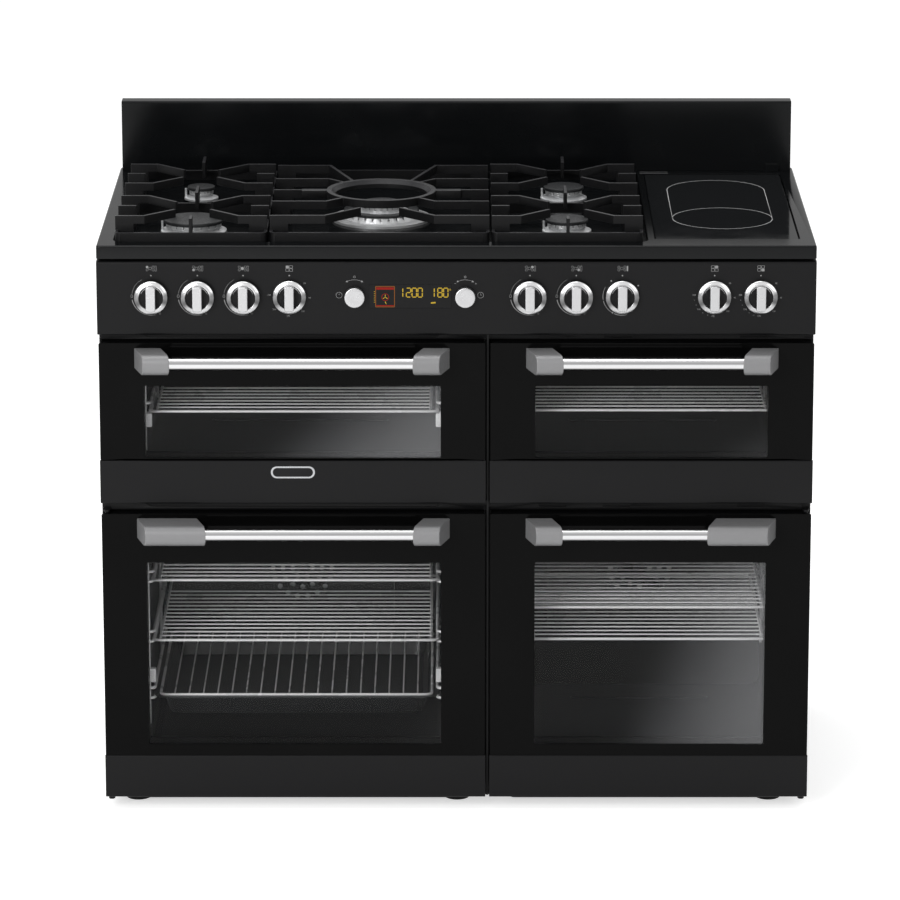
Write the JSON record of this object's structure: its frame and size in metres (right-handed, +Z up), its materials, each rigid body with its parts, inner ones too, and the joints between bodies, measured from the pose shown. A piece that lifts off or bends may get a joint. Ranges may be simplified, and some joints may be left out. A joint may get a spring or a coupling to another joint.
{
  "type": "dual fuel range cooker",
  "caption": "Free-standing dual fuel range cooker with gas burners, a ceramic zone, glass-fronted ovens, wire shelves, lift-off pan supports and turning knobs.",
  "frame": {"origin": "on the floor, below the middle of the cooker's overall box", "axes": "+X to the right seen from the front, +Y to the back, +Z up"},
  "size_m": [1.1, 0.655, 1.02],
  "materials": {
    "black_enamel": "gloss",
    "black_paint": "satin",
    "galvanised": "satin",
    "black_glass": "gloss",
    "ceramic_glass": "gloss",
    "display_window": "gloss",
    "grey_enamel": "gloss",
    "chromed_wire": "polished",
    "handle_satin": "satin",
    "burner_aluminium": "satin",
    "cast_iron": "matt enamel",
    "steel": "satin",
    "element": "oxidised",
    "seal_rubber": "matt",
    "foot_plastic": "matt",
    "knob_metal": "satin"
  },
  "bodies": {
    "root": {"chassis": "black_paint", "outer_casing": "black_paint", "control_panel": "black_enamel", "display_module": "display_window", "hob_top": "black_enamel", "ceramic_plate": "ceramic_glass", "splashback": "black_enamel", "burner_heads": "burner_aluminium", "burner_caps": "black_enamel", "oven_cavities": "grey_enamel", "door_seals": "seal_rubber", "shelf_supports": "chromed_wire", "fan_covers": "grey_enamel", "heating_elements": "element", "gas_rail": "galvanised", "levelling_feet": "foot_plastic"},
    "door_upper_left": {"door_glass_upper_left": "black_glass", "door_liner_upper_left": "black_paint", "door_trim_upper_left": "black_paint", "door_handle_upper_left": "handle_satin"},
    "door_upper_right": {"door_glass_upper_right": "black_glass", "door_liner_upper_right": "black_paint", "door_trim_upper_right": "black_paint", "door_handle_upper_right": "handle_satin"},
    "door_lower_left": {"door_glass_lower_left": "black_glass", "door_liner_lower_left": "black_paint", "door_trim_lower_left": "black_paint", "door_handle_lower_left": "handle_satin"},
    "door_lower_right": {"door_glass_lower_right": "black_glass", "door_liner_lower_right": "black_paint", "door_trim_lower_right": "black_paint", "door_handle_lower_right": "handle_satin"},
    "shelf_upper_left": {"shelf_upper_left": "chromed_wire"},
    "shelf_upper_right": {"shelf_upper_right": "chromed_wire"},
    "shelf_lower_left": {"shelf_lower_left": "chromed_wire"},
    "shelf_lower_left_upper": {"shelf_lower_left_upper": "chromed_wire"},
    "roasting_tray": {"roasting_tray": "grey_enamel"},
    "shelf_lower_right": {"shelf_lower_right": "chromed_wire"},
    "shelf_lower_right_upper": {"shelf_lower_right_upper": "chromed_wire"},
    "gas_stem_rear_left": {"gas_stem_rear_left": "steel"},
    "gas_knob_rear_left": {"gas_knob_rear_left": "knob_metal"},
    "gas_stem_front_left": {"gas_stem_front_left": "steel"},
    "gas_knob_front_left": {"gas_knob_front_left": "knob_metal"},
    "gas_stem_wok": {"gas_stem_wok": "steel"},
    "gas_knob_wok": {"gas_knob_wok": "knob_metal"},
    "gas_stem_rear_right": {"gas_stem_rear_right": "steel"},
    "gas_knob_rear_right": {"gas_knob_rear_right": "knob_metal"},
    "gas_stem_front_right": {"gas_stem_front_right": "steel"},
    "gas_knob_front_right": {"gas_knob_front_right": "knob_metal"},
    "knob_grill_oven": {"knob_grill_oven": "knob_metal"},
    "knob_ceramic_zone": {"knob_ceramic_zone": "knob_metal"},
    "knob_upper_right_oven": {"knob_upper_right_oven": "knob_metal"},
    "knob_lower_right_oven": {"knob_lower_right_oven": "knob_metal"},
    "timer_knob_left": {"timer_knob_left": "knob_metal"},
    "timer_knob_right": {"timer_knob_right": "knob_metal"},
    "pan_support_left": {"pan_support_left": "cast_iron"},
    "pan_support_centre": {"pan_support_centre": "cast_iron"},
    "pan_support_right": {"pan_support_right": "cast_iron"},
    "fan_lower_left": {"fan_lower_left": "galvanised"},
    "fan_lower_right": {"fan_lower_right": "galvanised"}
  },
  "joints": [
    {"name": "door_upper_left_hinge", "type": "hinge", "parent": "root", "child": "door_upper_left", "pos_m": [-0.2521, -0.2625, 0.506], "axis": [1, 0, 0], "range_deg": [0, 90]},
    {"name": "door_upper_right_hinge", "type": "hinge", "parent": "root", "child": "door_upper_right", "pos_m": [0.3004, -0.2625, 0.506], "axis": [1, 0, 0], "range_deg": [0, 90]},
    {"name": "door_lower_left_hinge", "type": "hinge", "parent": "root", "child": "door_lower_left", "pos_m": [-0.5406, -0.2625, 0.25], "axis": [0, 0, -1], "range_deg": [0, 90]},
    {"name": "door_lower_right_hinge", "type": "hinge", "parent": "root", "child": "door_lower_right", "pos_m": [0.5406, -0.2625, 0.25], "axis": [0, 0, 1], "range_deg": [0, 90]},
    {"name": "shelf_upper_left_slide", "type": "slide", "parent": "root", "child": "shelf_upper_left", "axis": [0, -1, 0], "range_m": [0, 0.21]},
    {"name": "shelf_upper_right_slide", "type": "slide", "parent": "root", "child": "shelf_upper_right", "axis": [0, -1, 0], "range_m": [0, 0.21]},
    {"name": "shelf_lower_left_slide", "type": "slide", "parent": "root", "child": "shelf_lower_left", "axis": [0, -1, 0], "range_m": [0, 0.14]},
    {"name": "shelf_lower_left_upper_slide", "type": "slide", "parent": "root", "child": "shelf_lower_left_upper", "axis": [0, -1, 0], "range_m": [0, 0.092]},
    {"name": "roasting_tray_slide", "type": "slide", "parent": "root", "child": "roasting_tray", "axis": [0, -1, 0], "range_m": [0, 0.116]},
    {"name": "shelf_lower_right_slide", "type": "slide", "parent": "root", "child": "shelf_lower_right", "axis": [0, -1, 0], "range_m": [0, 0.103]},
    {"name": "shelf_lower_right_upper_slide", "type": "slide", "parent": "root", "child": "shelf_lower_right_upper", "axis": [0, -1, 0], "range_m": [0, 0.072]},
    {"name": "gas_stem_rear_left_push", "type": "slide", "parent": "root", "child": "gas_stem_rear_left", "axis": [0, 1, 0], "range_m": [0, 0.0035], "stiffness_N_per_m": 900, "springref_m": -0.003},
    {"name": "gas_knob_rear_left_turn", "type": "hinge", "parent": "gas_stem_rear_left", "child": "gas_knob_rear_left", "pos_m": [-0.4664, -0.2765, 0.826], "axis": [0, -1, 0], "range_deg": [0, 210]},
    {"name": "gas_stem_front_left_push", "type": "slide", "parent": "root", "child": "gas_stem_front_left", "axis": [0, 1, 0], "range_m": [0, 0.0035], "stiffness_N_per_m": 900, "springref_m": -0.003},
    {"name": "gas_knob_front_left_turn", "type": "hinge", "parent": "gas_stem_front_left", "child": "gas_knob_front_left", "pos_m": [-0.3955, -0.2765, 0.826], "axis": [0, -1, 0], "range_deg": [0, 210]},
    {"name": "gas_stem_wok_push", "type": "slide", "parent": "root", "child": "gas_stem_wok", "axis": [0, 1, 0], "range_m": [0, 0.0035], "stiffness_N_per_m": 900, "springref_m": -0.003},
    {"name": "gas_knob_wok_turn", "type": "hinge", "parent": "gas_stem_wok", "child": "gas_knob_wok", "pos_m": [-0.3257, -0.2765, 0.826], "axis": [0, -1, 0], "range_deg": [0, 210]},
    {"name": "gas_stem_rear_right_push", "type": "slide", "parent": "root", "child": "gas_stem_rear_right", "axis": [0, 1, 0], "range_m": [0, 0.0035], "stiffness_N_per_m": 900, "springref_m": -0.003},
    {"name": "gas_knob_rear_right_turn", "type": "hinge", "parent": "gas_stem_rear_right", "child": "gas_knob_rear_right", "pos_m": [0.1123, -0.2765, 0.826], "axis": [0, -1, 0], "range_deg": [0, 210]},
    {"name": "gas_stem_front_right_push", "type": "slide", "parent": "root", "child": "gas_stem_front_right", "axis": [0, 1, 0], "range_m": [0, 0.0035], "stiffness_N_per_m": 900, "springref_m": -0.003},
    {"name": "gas_knob_front_right_turn", "type": "hinge", "parent": "gas_stem_front_right", "child": "gas_knob_front_right", "pos_m": [0.1831, -0.2765, 0.826], "axis": [0, -1, 0], "range_deg": [0, 210]},
    {"name": "knob_grill_oven_turn", "type": "hinge", "parent": "root", "child": "knob_grill_oven", "pos_m": [-0.2552, -0.2735, 0.826], "axis": [0, 1, 0], "range_deg": [0, 270]},
    {"name": "knob_ceramic_zone_turn", "type": "hinge", "parent": "root", "child": "knob_ceramic_zone", "pos_m": [0.2535, -0.2735, 0.826], "axis": [0, 1, 0], "range_deg": [0, 270]},
    {"name": "knob_upper_right_oven_turn", "type": "hinge", "parent": "root", "child": "knob_upper_right_oven", "pos_m": [0.3943, -0.2735, 0.826], "axis": [0, 1, 0], "range_deg": [0, 270]},
    {"name": "knob_lower_right_oven_turn", "type": "hinge", "parent": "root", "child": "knob_lower_right_oven", "pos_m": [0.465, -0.2735, 0.826], "axis": [0, 1, 0], "range_deg": [0, 270]},
    {"name": "timer_knob_left_turn", "type": "hinge", "parent": "root", "child": "timer_knob_left", "pos_m": [-0.1557, -0.2735, 0.826], "axis": [0, -1, 0], "continuous": true},
    {"name": "timer_knob_right_turn", "type": "hinge", "parent": "root", "child": "timer_knob_right", "pos_m": [0.0134, -0.2735, 0.826], "axis": [0, -1, 0], "continuous": true},
    {"name": "pan_support_left_lift", "type": "slide", "parent": "root", "child": "pan_support_left", "axis": [0, 0, 1], "range_m": [0, 0.06]},
    {"name": "pan_support_centre_lift", "type": "slide", "parent": "root", "child": "pan_support_centre", "axis": [0, 0, 1], "range_m": [0, 0.06]},
    {"name": "pan_support_right_lift", "type": "slide", "parent": "root", "child": "pan_support_right", "axis": [0, 0, 1], "range_m": [0, 0.06]},
    {"name": "fan_lower_left_spin", "type": "hinge", "parent": "root", "child": "fan_lower_left", "pos_m": [-0.2521, 0.18, 0.27], "axis": [0, 1, 0], "continuous": true},
    {"name": "fan_lower_right_spin", "type": "hinge", "parent": "root", "child": "fan_lower_right", "pos_m": [0.3004, 0.18, 0.27], "axis": [0, 1, 0], "continuous": true}
  ],
  "couplings": [
    {"joint": "shelf_upper_left_slide", "follows": "door_upper_left_hinge", "m_per_rad": 0.13},
    {"joint": "shelf_upper_right_slide", "follows": "door_upper_right_hinge", "m_per_rad": 0.13},
    {"joint": "shelf_lower_left_slide", "follows": "door_lower_left_hinge", "m_per_rad": 0.085},
    {"joint": "shelf_lower_left_upper_slide", "follows": "door_lower_left_hinge", "m_per_rad": 0.055},
    {"joint": "roasting_tray_slide", "follows": "door_lower_left_hinge", "m_per_rad": 0.07},
    {"joint": "shelf_lower_right_slide", "follows": "door_lower_right_hinge", "m_per_rad": 0.062},
    {"joint": "shelf_lower_right_upper_slide", "follows": "door_lower_right_hinge", "m_per_rad": 0.042}
  ]
}
